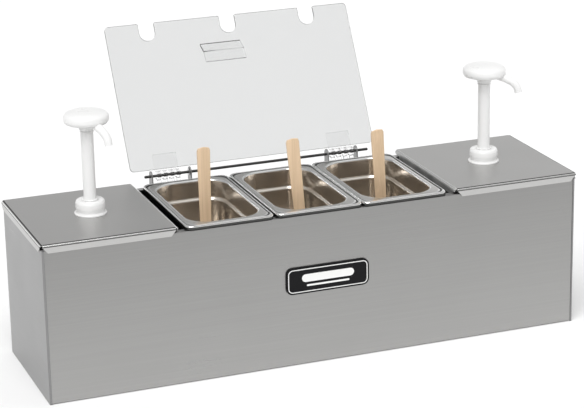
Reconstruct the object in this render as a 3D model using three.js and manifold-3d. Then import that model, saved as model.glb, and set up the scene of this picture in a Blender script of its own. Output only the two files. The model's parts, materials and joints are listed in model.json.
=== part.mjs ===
// Countertop condiment station: a long sheet-steel housing with a lift-out jar and
// hand pump at each end, three lift-out pans in the middle and a hinged clear lid.
// Units are millimetres. +X is along the length, +Y is towards the back, +Z is up.
// The origin is the centre of the housing's underside.
import * as THREE from 'three';
import { mergeVertices } from 'three/addons/utils/BufferGeometryUtils.js';
import Module from 'manifold-3d';

const wasm = await Module();
wasm.setup();

// ---------------------------------------------------------------- driving dimensions
const LENGTH = 673; // over the two covers
const DEPTH = 184; // over the covers' flanges
const COVER_TOP = 193.5;
const SHEET = 1;
const GAP = 0.3; // between pieces that touch on the real object
const OVERHANG = 1.7; // covers lap this far outside the housing's walls
const WALL_TOP = 187.3; // top of all four walls
const COVER_LENGTH = 163;
const FLANGE_HEIGHT = 10;
const FLANGE_CORNER_CUT = 9; // each flange end is cut back at a slant
const COVER_HOLE_RADIUS = 15;
const LEDGE = 7; // inward ledge along the top of each wall
const BACK_LEDGE = 12;

const halfLength = LENGTH / 2 - OVERHANG; // housing, outside
const halfDepth = DEPTH / 2 - OVERHANG;
const rimTop = COVER_TOP - SHEET - GAP; // pan rims, and what the covers rest on
const coverCentre = LENGTH / 2 - COVER_LENGTH / 2;
const DIVIDER_FACE = 178; // |x| of a divider's face beside the small pans
const DIVIDER_LEDGE = 5;

// pans: rim outline, rim widths, centre and depth
const PAN_LIP = 4.6; // height of the rim's turned-down edge
const PAN_RIM = 10;
const PAN_SHOULDER = 24; // depth of the stacking shoulder below the rim
const PAN_STEP = 3; // how far the shoulder steps in on each side
const SMALL_PAN = { width: 108, length: 176, corner: 28, depth: 102, y: -3.3 };
const DEEP_PAN = { width: 159, length: 176, corner: 30, depth: 150, y: -1.5 };
const PAN_CENTRES = [-110, 0.8, 109.4];

// lid, measured from the hinge rod's axis along the sheet
const ROD_Y = 99.4;
const ROD_Z = 196;
const ROD_RADIUS = 1.2;
const ROD_ENDS = [-154.7, 139.2];
const LID_LEAN = THREE.MathUtils.degToRad(29.5);
const LID_SIDES = [-171.3, 149.6];
const LID_BOTTOM = 8;
const LID_HEIGHT = 193.2;
const LID_THICKNESS = 3;
const LID_CORNER = 5;
const NOTCH_CENTRES = [-118, -12, 93.7];
const NOTCH_RADIUS = 10.35;
const NOTCH_DEPTH = 22.8;
const HANDLE = { centre: -21.7, width: 53, low: 136.6, high: 152.5, lip: 17, bend: 50, thickness: 2.5 };

// hinge hardware
const EARS = [
  { x: -146, foot: -1 },
  { x: -97.7, foot: 1 },
  { x: 84.9, foot: -1 },
  { x: 122.6, foot: 1 },
];
const EAR_THICKNESS = 1.5;
const EAR_RADIUS = 6.5;
const FOOT = { width: 14, low: 153, high: 181 };
const RIVET_HOLE = 1.9;
const LEAVES = [
  { name: 'left_hinge_leaf', centre: -125, rings: 4 },
  { name: 'right_hinge_leaf', centre: 104, rings: 4 },
];
const LEAF = { pitch: 8.3, ringWidth: 5, ringRadius: 5.7, plate: 2.5, reach: 27 };
const HEEL_CLEARANCE = 0.3; // between a heel's tip and the wall with the lid open

// pumps, all heights above the housing's underside
const PUMPS = {
  left: { x: -251.5, spout: THREE.MathUtils.degToRad(-70) },
  right: { x: 254.2, spout: THREE.MathUtils.degToRad(-36) },
};
const STEM_RADIUS = 6.75;
const STEM_BORE = 3.2;
const HEAD_RADIUS = 26.4;
const HEAD_TOP = 318.5;
const HEAD_UNDERSIDE = 301;
const CAP_TOP = 210.5;
const BARREL_RADIUS = 13.6;
const BARREL_BORE = 12;
const BARREL_FLOOR = 88; // upper face of the barrel's floor
const DIP_TUBE_FOOT = 50;
const PISTON_FOOT = 176;
const SPRING = { radius: 9.6, wire: 0.7, turns: 8, low: 89.2, high: 174.9 };

// wooden sticks: the foot is the point that stays put as the top leans forward
const STICK = { below: 1.5, top: 8.1, foot: 5.9, thickness: 2.4 };
const STICKS = [
  { foot: [-118, -22.5, 95], length: 168, lean: 0, tilt: -0.2 },
  { foot: [-0.3, -42.9, 95], length: 172.3, lean: 0.2, tilt: -5.1 },
  { foot: [107.1, -29.6, 95], length: 173.8, lean: 6.9, tilt: -5.8 },
];

const BADGE = { x: 8.4, z: 106.7, width: 105, height: 33, radius: 8, thickness: 1.6 };

// ---------------------------------------------------------------- materials
const surface = (color, roughness, metalness = 0, extra = {}) =>
  new THREE.MeshStandardMaterial({ color, roughness, metalness, ...extra });
const steel = () => surface(0xa9a8a6, 0.35, 1);
const coverSteel = () => surface(0xb4b3b0, 0.3, 1);
const panSteel = () => surface(0xa8a29a, 0.15, 1);
const darkSteel = () => surface(0x5a5856, 0.3, 1);
const clearAcrylic = () => surface(0xf4f6f6, 0.05, 0, { transparent: true, opacity: 0.35 });
const whitePlastic = () => surface(0xf2f2f0, 0.35);
const greySeal = () => surface(0x8c8c8a, 0.7);
const blackEnamel = () => surface(0x141414, 0.3);
const wood = () => surface(0xcdaf8c, 0.7);

// ---------------------------------------------------------------- solids and booleans
function toSolid(geometry) {
  const bare = geometry.clone();
  bare.deleteAttribute('normal');
  bare.deleteAttribute('uv');
  const merged = mergeVertices(bare, 1e-4);
  const mesh = new wasm.Mesh({
    numProp: 3,
    vertProperties: Float32Array.from(merged.attributes.position.array),
    triVerts: Uint32Array.from(merged.index.array),
  });
  return new wasm.Manifold(mesh);
}

function toGeometry(solid) {
  const mesh = solid.getMesh();
  const geometry = new THREE.BufferGeometry();
  geometry.setAttribute('position', new THREE.BufferAttribute(Float32Array.from(mesh.vertProperties), 3));
  geometry.setIndex(Array.from(mesh.triVerts));
  geometry.computeVertexNormals();
  return geometry;
}

const join = (...parts) => toGeometry(parts.map(toSolid).reduce((a, b) => a.add(b)));
const cut = (body, ...tools) => toGeometry(tools.map(toSolid).reduce((a, b) => a.subtract(b), toSolid(body)));

// a box from its lowest corner to its highest
function block(x0, x1, y0, y1, z0, z1) {
  const geometry = new THREE.BoxGeometry(x1 - x0, y1 - y0, z1 - z0);
  return geometry.translate((x0 + x1) / 2, (y0 + y1) / 2, (z0 + z1) / 2);
}

function extrude(shape, height, curveSegments = 5) {
  return new THREE.ExtrudeGeometry(shape, { depth: height, bevelEnabled: false, curveSegments });
}

// turns [radius, z] points about +Z
function lathe(points, segments = 20) {
  const profile = points.map(([r, z]) => new THREE.Vector2(r, z));
  return new THREE.LatheGeometry(profile, segments).rotateX(Math.PI / 2);
}

// a closed ring profile: the first point is repeated
const latheRing = (points, segments) => lathe([...points, points[0]], segments);

function rodAlongX(x0, x1, radius, sides = 12) {
  const rod = new THREE.CylinderGeometry(radius, radius, x1 - x0, sides);
  return rod.rotateZ(Math.PI / 2).translate((x0 + x1) / 2, 0, 0);
}

function rodAlongY(y0, y1, radius, sides = 12) {
  return new THREE.CylinderGeometry(radius, radius, y1 - y0, sides).translate(0, (y0 + y1) / 2, 0);
}

function roundedRectangle(width, length, radius) {
  const w = width / 2;
  const l = length / 2;
  const shape = new THREE.Shape();
  shape.moveTo(w - radius, -l);
  shape.absarc(w - radius, -l + radius, radius, -Math.PI / 2, 0);
  shape.absarc(w - radius, l - radius, radius, 0, Math.PI / 2);
  shape.absarc(-w + radius, l - radius, radius, Math.PI / 2, Math.PI);
  shape.absarc(-w + radius, -l + radius, radius, Math.PI, 1.5 * Math.PI);
  return shape;
}

const slab = (width, length, radius, z0, z1) =>
  extrude(roundedRectangle(width, length, radius), z1 - z0, 3).translate(0, 0, z0);

function piece(name, geometry, material, place = [0, 0, 0]) {
  const mesh = new THREE.Mesh(geometry, material);
  mesh.name = name;
  mesh.position.set(...place);
  return mesh;
}

// ---------------------------------------------------------------- housing
// one sheet bent into front wall, floor and back wall, with a ledge along each top edge
function housingWrap() {
  const half = halfLength - SHEET - GAP;
  const y = halfDepth;
  const holes = EARS.map((ear) => rivetBore(ear));
  const sheet = join(
    block(-half, half, -y, y, 0, SHEET),
    block(-half, half, -y, -y + SHEET, 0, WALL_TOP),
    block(-half, half, y - SHEET, y, 0, WALL_TOP),
    block(-half, half, -y, -y + LEDGE, WALL_TOP - SHEET, WALL_TOP),
    block(-half, half, y - BACK_LEDGE, y, WALL_TOP - SHEET, WALL_TOP),
  );
  return cut(sheet, ...holes);
}

// an upright plate across the housing with a ledge along its top, between the wrap's ledges;
// side is -1 on the left and 1 on the right, and xOuter and xLedge are distances from the middle
function crossPlate(side, xFace, xLedge, yReach, low, shoulder) {
  const box = (xa, xb, y0, y1, z0, z1) => {
    const ends = [side * xa, side * xb].sort((p, q) => p - q);
    return block(...ends, y0, y1, z0, z1);
  };
  const front = -halfDepth + LEDGE + GAP;
  const back = halfDepth - BACK_LEDGE - GAP;
  const reach = Math.sign(xLedge - xFace) * SHEET;
  return join(
    box(xFace, xFace + reach, -yReach, yReach, low, shoulder),
    box(xFace, xFace + reach, front, back, low, WALL_TOP),
    box(xFace, xLedge, front, back, WALL_TOP - SHEET, WALL_TOP),
  );
}

const endPanel = (side) => crossPlate(side, halfLength, halfLength - LEDGE, halfDepth, 0, WALL_TOP);

const divider = (side) =>
  crossPlate(
    side,
    DIVIDER_FACE,
    DIVIDER_FACE + DIVIDER_LEDGE,
    halfDepth - SHEET - GAP,
    SHEET + GAP,
    WALL_TOP - SHEET - GAP,
  );

function badgePlate() {
  const outline = roundedRectangle(BADGE.width, BADGE.height, BADGE.radius);
  const inset = roundedRectangle(BADGE.width - 6, BADGE.height - 6, BADGE.radius - 3);
  const plate = extrude(outline, BADGE.thickness, 4).rotateX(Math.PI / 2);
  const pocket = extrude(inset, 1, 4).rotateX(Math.PI / 2).translate(0, -BADGE.thickness + 0.6, 0);
  return cut(plate, pocket);
}

// ---------------------------------------------------------------- hinge hardware
const footCentre = (ear) => ear.x + ear.foot * (FOOT.width / 2);
const rivetZ = (FOOT.low + FOOT.high) / 2;
const rivetBore = (ear) =>
  rodAlongY(halfDepth - 4, halfDepth + 4, RIVET_HOLE, 10).translate(footCentre(ear), 0, rivetZ);

// an upright ear around the rod on a foot that is riveted to the back wall
function hingeBracket(ear) {
  const x0 = Math.min(ear.x, ear.x + ear.foot * EAR_THICKNESS);
  const back = halfDepth + GAP;
  const f0 = Math.min(ear.x, ear.x + ear.foot * FOOT.width);
  const round = rodAlongX(x0, x0 + EAR_THICKNESS, EAR_RADIUS, 16).translate(0, ROD_Y, ROD_Z);
  const neck = block(x0, x0 + EAR_THICKNESS, ROD_Y - EAR_RADIUS, ROD_Y + EAR_RADIUS, FOOT.high - 8, ROD_Z);
  const web = block(x0, x0 + EAR_THICKNESS, back, ROD_Y + EAR_RADIUS, FOOT.low, FOOT.high);
  const foot = block(f0, f0 + FOOT.width, back, back + EAR_THICKNESS, FOOT.low, FOOT.high);
  const rodHole = rodAlongX(x0 - 1, x0 + EAR_THICKNESS + 1, ROD_RADIUS + GAP, 16);
  return cut(join(round, neck, web, foot), rodHole.translate(0, ROD_Y, ROD_Z), rivetBore(ear));
}

// a blind rivet: domed head outside the foot, set end inside the wall
function bracketRivet() {
  const inside = -SHEET - GAP;
  const outside = GAP + EAR_THICKNESS + GAP;
  const profile = [
    [0, inside - 1.2],
    [2.8, inside - 1],
    [2.8, inside],
    [1.6, inside],
    [1.6, outside],
    [3.2, outside],
    [2.4, outside + 1],
    [0, outside + 1.4],
  ];
  return lathe(profile, 12).rotateX(-Math.PI / 2);
}

// a toothed push-on washer that stops the rod sliding
function rodClip(x) {
  const disc = rodAlongX(x, x + 0.8, 4.2, 12);
  return cut(disc, rodAlongX(x - 1, x + 2, ROD_RADIUS + 0.1, 12)).translate(0, ROD_Y, ROD_Z);
}

// ---------------------------------------------------------------- lid (rod axis at 0, sheet along +Z)
function lidPanel() {
  const [left, right] = LID_SIDES;
  const c = LID_CORNER;
  const shape = new THREE.Shape();
  shape.moveTo(left + c, LID_BOTTOM);
  shape.absarc(right - c, LID_BOTTOM + c, c, -Math.PI / 2, 0);
  shape.absarc(right - c, LID_HEIGHT - c, c, 0, Math.PI / 2);
  for (const x of [...NOTCH_CENTRES].reverse()) {
    const floor = LID_HEIGHT - NOTCH_DEPTH + NOTCH_RADIUS;
    shape.lineTo(x + NOTCH_RADIUS, LID_HEIGHT);
    shape.absarc(x, floor, NOTCH_RADIUS, 0, -Math.PI, true);
    shape.lineTo(x - NOTCH_RADIUS, LID_HEIGHT);
  }
  shape.absarc(left + c, LID_HEIGHT - c, c, Math.PI / 2, Math.PI);
  shape.absarc(left + c, LID_BOTTOM + c, c, Math.PI, 1.5 * Math.PI);
  const sheet = extrude(shape, LID_THICKNESS, 5);
  return sheet.rotateX(Math.PI / 2).translate(0, LID_THICKNESS / 2, 0);
}

// an angle of clear strip: a flange on the lid's outer face and a lip bent away from it
function lidHandle() {
  const { centre, width, low, high, lip, bend, thickness } = HANDLE;
  const turn = THREE.MathUtils.degToRad(bend);
  const face = LID_THICKNESS / 2 + GAP;
  const tip = [face + lip * Math.sin(turn), high + lip * Math.cos(turn)];
  const shape = new THREE.Shape();
  shape.moveTo(face, low);
  shape.lineTo(face + thickness, low);
  shape.lineTo(face + thickness, high - thickness * Math.tan(turn / 2));
  shape.lineTo(tip[0] + thickness * Math.cos(turn), tip[1] - thickness * Math.sin(turn));
  shape.lineTo(tip[0], tip[1]);
  shape.lineTo(face, high);
  const strip = extrude(shape, width).rotateY(Math.PI / 2).rotateX(Math.PI / 2);
  return strip.translate(centre - width / 2, 0, 0);
}

// how far a heel reaches past the rod before it meets the back wall with the lid open
const heelReach = () => {
  const toWall = (ROD_Y - halfDepth - HEEL_CLEARANCE) / Math.sin(LID_LEAN);
  return toWall - (LEAF.plate / 2) / Math.tan(LID_LEAN);
};

// a clear leaf on the lid's outer face, rings round the rod and heels that stop the lid
function hingeLeaf({ centre, rings }) {
  const { pitch, ringWidth, ringRadius, plate, reach } = LEAF;
  const half = ((rings - 1) * pitch + ringWidth) / 2;
  const face = LID_THICKNESS / 2 + GAP;
  const clearOfRod = ringRadius + 0.8;
  const parts = [block(-half, half, face, face + plate, clearOfRod, reach)];
  const bores = [];
  for (let i = 0; i < rings; i += 1) {
    const x0 = -half + i * pitch;
    parts.push(rodAlongX(x0, x0 + ringWidth, ringRadius, 12));
    parts.push(block(x0, x0 + ringWidth, face, face + plate, 0, clearOfRod + 1));
    parts.push(block(x0, x0 + ringWidth, -plate / 2, plate / 2, -heelReach(), 0));
    bores.push(rodAlongX(x0 - 1, x0 + ringWidth + 1, ROD_RADIUS + GAP, 10));
  }
  return cut(join(...parts), ...bores).translate(centre, 0, 0);
}

// ---------------------------------------------------------------- covers
// a down-turned flange with slanted ends, centred on x, its top edge at z = 0
function outerFlange(span) {
  const half = span / 2;
  const cutBack = half - FLANGE_CORNER_CUT;
  const right = [[half, 0], [half, -SHEET], [cutBack, -FLANGE_HEIGHT]];
  const left = right.map(([x, z]) => [-x, z]).reverse();
  return flangeSheet([...right, ...left]);
}

function flangeSheet(outline) {
  const shape = new THREE.Shape(outline.map(([x, z]) => new THREE.Vector2(x, z)));
  return extrude(shape, SHEET).rotateX(Math.PI / 2);
}

// the flange beside the small pans is stepped to clear the ledges of the housing's walls;
// its outline runs along y before it is turned
function innerFlange() {
  const half = DEPTH / 2;
  const step = -(rimTop - WALL_TOP + SHEET);
  const front = -halfDepth + LEDGE + 2 * GAP;
  const back = halfDepth - BACK_LEDGE - 2 * GAP;
  return flangeSheet([
    [half, 0],
    [half, -SHEET],
    [half - 4, step],
    [back, step],
    [back, -FLANGE_HEIGHT],
    [front, -FLANGE_HEIGHT],
    [front, step],
    [-half + 4, step],
    [-half, -SHEET],
    [-half, 0],
  ]);
}

// a flat sheet with four down-turned flanges and a hole for the pump
function cover(side) {
  const halfX = COVER_LENGTH / 2;
  const halfY = DEPTH / 2;
  const r = COVER_HOLE_RADIUS;
  const top = block(-halfX, halfX, -halfY, halfY, -SHEET, 0);
  const front = outerFlange(COVER_LENGTH).translate(0, -halfY + SHEET, 0);
  const back = outerFlange(COVER_LENGTH).translate(0, halfY, 0);
  const turned = [outerFlange(DEPTH), innerFlange()].map((part) => part.rotateZ(Math.PI / 2));
  const outer = turned[0].translate(side < 0 ? -halfX : halfX - SHEET, 0, 0);
  const inner = turned[1].translate(side < 0 ? halfX - SHEET : -halfX, 0, 0);
  const offset = (side < 0 ? PUMPS.left.x : PUMPS.right.x) - side * coverCentre;
  const hole = lathe([[0, -3], [r, -3], [r, 3], [0, 3]], 24).translate(offset, 0, 0);
  return cut(join(top, front, back, outer, inner), hole);
}

// ---------------------------------------------------------------- pans and sticks
function pan({ width, length, corner, depth }) {
  const openX = width - 2 * PAN_RIM;
  const openY = length - 2 * PAN_RIM;
  const lowX = openX - 2 * PAN_STEP;
  const lowY = openY - 2 * PAN_STEP;
  const shoulder = rimTop - PAN_SHOULDER;
  const floor = rimTop - depth;
  const lip = rimTop - PAN_LIP;
  const t = 2 * SHEET;
  const edge = cut(
    slab(width, length, 8, lip, rimTop),
    slab(width - t, length - t, 7, lip - 1, rimTop + 1),
  );
  const outside = join(
    slab(width, length, 8, rimTop - SHEET, rimTop),
    slab(openX + t, openY + t, corner, shoulder - SHEET, rimTop),
    slab(lowX + t, lowY + t, corner - PAN_STEP, floor, shoulder),
    edge,
  );
  const wide = slab(openX, openY, corner - SHEET, shoulder, rimTop + 5);
  const narrow = slab(lowX, lowY, corner - PAN_STEP - SHEET, floor + SHEET, rimTop + 5);
  return cut(outside, wide, narrow);
}

// a flat wooden stick: a rounded top, widest there, tapering to a rounded foot
function stick(length) {
  const { below, top, foot, thickness } = STICK;
  const shape = new THREE.Shape();
  const corner = 3.5;
  shape.moveTo(-foot + 2, -below);
  shape.lineTo(foot - 2, -below);
  shape.quadraticCurveTo(foot, -below, foot, 2);
  shape.lineTo(top, length - corner);
  shape.quadraticCurveTo(top, length - 0.6, top - corner, length - 0.3);
  shape.quadraticCurveTo(0, length + 0.3, -top + corner, length - 0.3);
  shape.quadraticCurveTo(-top, length - 0.6, -top, length - corner);
  shape.lineTo(-foot, 2);
  shape.quadraticCurveTo(-foot, -below, -foot + 2, -below);
  return extrude(shape, thickness, 3).rotateX(Math.PI / 2).translate(0, thickness / 2, 0);
}

// ---------------------------------------------------------------- pump pieces (axis on z)
function pumpCap() {
  const low = COVER_TOP + GAP;
  return latheRing([
    [14.8, low],
    [18.4, low],
    [18.4, low + 1.4],
    [16.9, low + 3],
    [16.5, CAP_TOP - 4],
    [14.8, CAP_TOP - 1.4],
    [9.5, CAP_TOP - 0.6],
    [8.5, CAP_TOP],
    [STEM_RADIUS + GAP, CAP_TOP],
    [STEM_RADIUS + GAP, CAP_TOP - 5],
    [14.8, CAP_TOP - 5],
  ]);
}

// an open cylinder through the cover with a valve seat and nozzle at its foot
function pumpBarrel() {
  const top = CAP_TOP - 5 - GAP;
  const floor = BARREL_FLOOR;
  return latheRing([
    [3, floor - 18],
    [5, floor - 18],
    [5, floor - 5],
    [BARREL_RADIUS, floor - 3],
    [BARREL_RADIUS, COVER_TOP + GAP],
    [14.5, COVER_TOP + GAP],
    [14.5, top],
    [BARREL_BORE, top],
    [BARREL_BORE, floor],
    [3, floor],
  ]);
}

function dipTube() {
  const top = BARREL_FLOOR - 5 - GAP - 1;
  const bore = 5 + GAP;
  return latheRing([[bore, DIP_TUBE_FOOT], [6.7, DIP_TUBE_FOOT], [6.7, top], [bore, top]], 14);
}

// a ball resting on the round edge of a seat
function seatedBall(radius, seatRadius, seatZ) {
  const lift = Math.sqrt(radius * radius - seatRadius * seatRadius) + GAP;
  return new THREE.SphereGeometry(radius, 10, 7).rotateX(Math.PI / 2).translate(0, 0, seatZ + lift);
}

class Helix extends THREE.Curve {
  getPoint(t, target = new THREE.Vector3()) {
    const angle = 2 * Math.PI * SPRING.turns * t;
    const z = SPRING.low + (SPRING.high - SPRING.low) * t;
    return target.set(SPRING.radius * Math.cos(angle), SPRING.radius * Math.sin(angle), z);
  }
}

const spring = () => tubeAlong(new Helix(), SPRING.wire, 5, SPRING.turns * 8);

function piston() {
  const z = PISTON_FOOT;
  return latheRing([
    [1.8, z],
    [11.5, z],
    [11.5, z + 2],
    [9, z + 2],
    [9, z + 6],
    [11.5, z + 6],
    [11.5, z + 8],
    [STEM_RADIUS + GAP, z + 8],
    [STEM_RADIUS + GAP, z + 4.5],
    [1.8, z + 4.5],
  ]);
}

function pistonSeal() {
  const z = PISTON_FOOT;
  return latheRing([[9 + GAP, z + 2.3], [11.7, z + 2.3], [11.7, z + 5.7], [9 + GAP, z + 5.7]]);
}

function stem() {
  const foot = PISTON_FOOT + 4.5 + GAP;
  const top = HEAD_UNDERSIDE + 5;
  return latheRing([[STEM_BORE, foot], [STEM_RADIUS, foot], [STEM_RADIUS, top], [STEM_BORE, top]], 16);
}

function stemCollar() {
  const top = HEAD_UNDERSIDE - GAP;
  const bore = STEM_RADIUS + GAP;
  return latheRing([[bore, top - 8], [7.6, top - 8], [8.1, top - 6], [8.1, top], [bore, top]], 16);
}

// the spout's centre line: nearly level under the dome, then turned down
const SPOUT = [[0, 5.6], [10, 5], [19, 2], [28, -1.2], [35.5, -5], [40.5, -10.5], [42.3, -17]];
const spoutLine = new THREE.CatmullRomCurve3(
  SPOUT.map(([r, z]) => new THREE.Vector3(r, 0, HEAD_UNDERSIDE + z)),
);

function tubeAlong(path, radius, sides, steps) {
  const section = new THREE.Shape();
  for (let i = 0; i < sides; i += 1) {
    const angle = (2 * Math.PI * i) / sides;
    const point = [radius * Math.cos(angle), radius * Math.sin(angle)];
    if (i === 0) section.moveTo(...point);
    else section.lineTo(...point);
  }
  return new THREE.ExtrudeGeometry(section, { steps, bevelEnabled: false, extrudePath: path });
}

// the push dome with its spout and the socket that the stem fits in
function pumpHead() {
  const z = HEAD_UNDERSIDE;
  const bore = STEM_RADIUS + GAP;
  const dome = lathe([
    [0, z + 1],
    [10, z + 1],
    [12, z + 2.5],
    [19.5, z + 1.5],
    [22.6, z],
    [25.6, z + 3],
    [HEAD_RADIUS, z + 6.4],
    [26.1, z + 10],
    [23, z + 13.6],
    [16.5, z + 16],
    [8, z + 17.2],
    [0, HEAD_TOP],
  ]);
  const hub = lathe([[0, z], [9, z], [9, z + 8], [0, z + 8]], 16);
  const spout = tubeAlong(spoutLine, 4.5, 10, 8);
  const socket = lathe([[0, z - 1], [bore, z - 1], [bore, z + 5.4], [0, z + 5.4]], 16);
  const channel = tubeAlong(extended(spoutLine), 2.6, 6, 8);
  return cut(join(dome, hub, spout), socket, channel);
}

// the same line, carried a little past the spout's mouth
function extended(line) {
  const points = line.points.map((point) => point.clone());
  const last = points[points.length - 1];
  last.add(line.getTangent(1).multiplyScalar(2));
  return new THREE.CatmullRomCurve3(points);
}

// ---------------------------------------------------------------- assembly
function housing() {
  const group = new THREE.Group();
  group.add(
    piece('housing_wrap', housingWrap(), steel()),
    piece('left_end_panel', endPanel(-1), steel()),
    piece('right_end_panel', endPanel(1), steel()),
    piece('left_divider', divider(-1), steel()),
    piece('right_divider', divider(1), steel()),
    piece('badge_plate', badgePlate(), blackEnamel(), [BADGE.x, -halfDepth - GAP, BADGE.z]),
    piece('hinge_rod', rodAlongX(...ROD_ENDS, ROD_RADIUS), darkSteel(), [0, ROD_Y, ROD_Z]),
    piece('rod_clip_left', rodClip(EARS[1].x - 0.8 - GAP), darkSteel()),
    piece('rod_clip_right', rodClip(EARS[3].x + EAR_THICKNESS + GAP), darkSteel()),
  );
  EARS.forEach((ear, i) => {
    group.add(piece(`hinge_bracket_${i + 1}`, hingeBracket(ear), steel()));
    group.add(piece(`bracket_rivet_${i + 1}`, bracketRivet(), steel(), [footCentre(ear), halfDepth, rivetZ]));
  });
  return group;
}

function lid() {
  const group = new THREE.Group();
  group.position.set(0, ROD_Y, ROD_Z);
  group.rotation.x = -LID_LEAN;
  group.add(
    piece('lid_panel', lidPanel(), clearAcrylic()),
    piece('lid_handle', lidHandle(), clearAcrylic()),
    ...LEAVES.map((leaf) => piece(leaf.name, hingeLeaf(leaf), clearAcrylic())),
  );
  return group;
}

function pump(side) {
  const { x, spout } = PUMPS[side];
  const group = new THREE.Group();
  group.position.x = x;
  const head = piece(`${side}_pump_head`, pumpHead(), whitePlastic());
  head.rotation.z = spout;
  group.add(
    piece(`${side}_pump_cap`, pumpCap(), whitePlastic()),
    piece(`${side}_pump_barrel`, pumpBarrel(), whitePlastic()),
    piece(`${side}_dip_tube`, dipTube(), whitePlastic()),
    piece(`${side}_foot_ball`, seatedBall(4.5, 3, BARREL_FLOOR), steel()),
    piece(`${side}_pump_spring`, spring(), steel()),
    piece(`${side}_piston`, piston(), whitePlastic()),
    piece(`${side}_piston_seal`, pistonSeal(), greySeal()),
    piece(`${side}_pump_stem`, stem(), whitePlastic()),
    piece(`${side}_outlet_ball`, seatedBall(2.6, 1.8, PISTON_FOOT + 4.5), steel()),
    piece(`${side}_stem_collar`, stemCollar(), whitePlastic()),
    head,
  );
  return group;
}

function pumpBay(side) {
  const sign = side === 'left' ? -1 : 1;
  const group = new THREE.Group();
  group.add(
    piece(`${side}_cover`, cover(sign), coverSteel(), [sign * coverCentre, 0, COVER_TOP]),
    piece(`${side}_deep_pan`, pan(DEEP_PAN), panSteel(), [sign * coverCentre, DEEP_PAN.y, 0]),
    pump(side),
  );
  return group;
}

function pansAndSticks() {
  const group = new THREE.Group();
  PAN_CENTRES.forEach((x, i) => {
    const { foot, length, lean, tilt } = STICKS[i];
    const wooden = piece(`stick_${i + 1}`, stick(length), wood(), foot);
    wooden.rotation.set(THREE.MathUtils.degToRad(lean), THREE.MathUtils.degToRad(tilt), 0);
    group.add(piece(`pan_${i + 1}`, pan(SMALL_PAN), panSteel(), [x, SMALL_PAN.y, 0]), wooden);
  });
  return group;
}

const station = new THREE.Group();
station.add(housing(), lid(), pumpBay('left'), pumpBay('right'), pansAndSticks());

export default station;
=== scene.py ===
"""The looks of a countertop condiment station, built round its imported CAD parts.

Shapes are written in millimetres and placed by the CAD parts' own boxes: +X along the
length, +Y to the back, +Z up, from the middle of the housing's underside.
"""

import json
import math

import bmesh
import bpy
from mathutils import Matrix, Vector


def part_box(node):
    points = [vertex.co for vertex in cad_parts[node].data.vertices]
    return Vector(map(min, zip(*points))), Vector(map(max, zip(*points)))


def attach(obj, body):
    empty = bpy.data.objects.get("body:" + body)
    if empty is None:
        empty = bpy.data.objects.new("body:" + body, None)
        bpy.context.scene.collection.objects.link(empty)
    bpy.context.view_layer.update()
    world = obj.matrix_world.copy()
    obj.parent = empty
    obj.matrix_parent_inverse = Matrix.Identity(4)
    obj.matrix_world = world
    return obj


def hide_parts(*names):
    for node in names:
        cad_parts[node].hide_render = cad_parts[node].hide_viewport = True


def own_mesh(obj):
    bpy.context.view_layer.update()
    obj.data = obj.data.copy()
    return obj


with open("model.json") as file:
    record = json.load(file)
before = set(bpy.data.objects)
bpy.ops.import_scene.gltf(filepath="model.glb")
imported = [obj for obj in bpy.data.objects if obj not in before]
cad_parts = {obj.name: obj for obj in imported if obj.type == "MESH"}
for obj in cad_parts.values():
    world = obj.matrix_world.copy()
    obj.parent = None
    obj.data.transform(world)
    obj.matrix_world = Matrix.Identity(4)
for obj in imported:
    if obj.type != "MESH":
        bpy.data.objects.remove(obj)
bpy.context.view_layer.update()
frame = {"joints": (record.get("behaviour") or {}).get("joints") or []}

MM = 0.001
SIDES = ("left", "right")
X, Y, Z = Vector((1, 0, 0)), Vector((0, 1, 0)), Vector((0, 0, 1))
TINY = 1e-6


# ------------------------------ where the CAD parts are
def span(node):
    """Lowest and highest corner of a CAD part, in millimetres."""
    low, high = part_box(node)
    return low / MM, high / MM


def middle(node):
    low, high = span(node)
    return (low + high) / 2


# ------------------------------ materials
GRAIN_DEPTH = 0.00004  # metres, like the next three
PORE_DEPTH = 0.00005
FIBRE_DEPTH = 0.0002
WALL_HEIGHT = 0.19


def new_material(name, **values):
    """A principled material; a value's name is its socket's, with _ for each space."""
    material = bpy.data.materials.new(name)
    material.use_nodes = True
    shader = material.node_tree.nodes["Principled BSDF"]
    for socket, value in values.items():
        shader.inputs[socket.replace("_", " ")].default_value = value
    return material


def shader_of(material):
    return material.node_tree.nodes["Principled BSDF"]


def noise(material, scale, detail=3.0):
    """A noise texture in the object's own space; scale is per metre along each axis."""
    nodes, links = material.node_tree.nodes, material.node_tree.links
    place = nodes.new("ShaderNodeTexCoord")
    mapping = nodes.new("ShaderNodeMapping")
    texture = nodes.new("ShaderNodeTexNoise")
    mapping.inputs["Scale"].default_value = scale
    texture.inputs["Scale"].default_value = 1.0
    texture.inputs["Detail"].default_value = detail
    links.new(place.outputs["Object"], mapping.inputs["Vector"])
    links.new(mapping.outputs["Vector"], texture.inputs["Vector"])
    return texture.outputs["Fac"]


def remap(material, value, low, high, start=0.3, end=0.7):
    """Stretches the values from start to end over low to high."""
    node = material.node_tree.nodes.new("ShaderNodeMapRange")
    node.inputs["From Min"].default_value = start
    node.inputs["From Max"].default_value = end
    node.inputs["To Min"].default_value = low
    node.inputs["To Max"].default_value = high
    material.node_tree.links.new(value, node.inputs["Value"])
    return node.outputs["Result"]


def colour_between(material, value, first, second):
    node = material.node_tree.nodes.new("ShaderNodeMix")
    node.data_type = "RGBA"
    node.inputs["A"].default_value = (*first, 1)
    node.inputs["B"].default_value = (*second, 1)
    material.node_tree.links.new(value, node.inputs["Factor"])
    return node.outputs["Result"]


def darker(colour, share):
    return tuple(channel * share for channel in colour)


def feed(material, socket, value):
    material.node_tree.links.new(value, shader_of(material).inputs[socket])


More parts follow.
